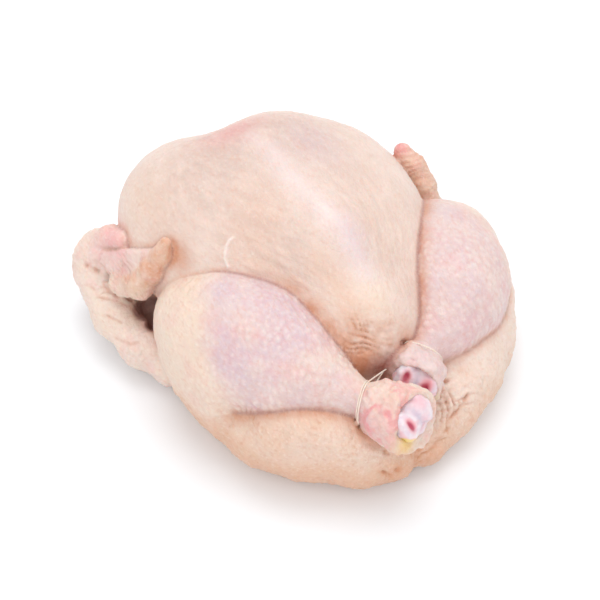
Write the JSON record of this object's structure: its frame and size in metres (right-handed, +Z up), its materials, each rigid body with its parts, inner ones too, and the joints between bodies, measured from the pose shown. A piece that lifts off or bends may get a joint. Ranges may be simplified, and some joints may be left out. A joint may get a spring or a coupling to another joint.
{
  "type": "whole raw chicken",
  "caption": "Whole raw chicken, plucked and oven-ready, lying on its back with wings folded and legs trussed by a thin elastic.",
  "frame": {"origin": "middle of the bird's plan, on the surface that it lies on", "axes": "+Z up out of the breast, +Y from the tail to the neck end, -X towards the wing whose hand shows"},
  "size_m": [0.2133, 0.2262, 0.1058],
  "materials": {
    "skin": "moist raw poultry skin, satin",
    "cartilage": "wet cartilage, glossy",
    "elastic": "thin pale translucent elastic"
  },
  "bodies": {
    "root": {"chicken": "skin", "hock_cartilage_left": "cartilage", "hock_cartilage_right": "cartilage", "truss_elastic": "elastic"}
  },
  "joints": []
}
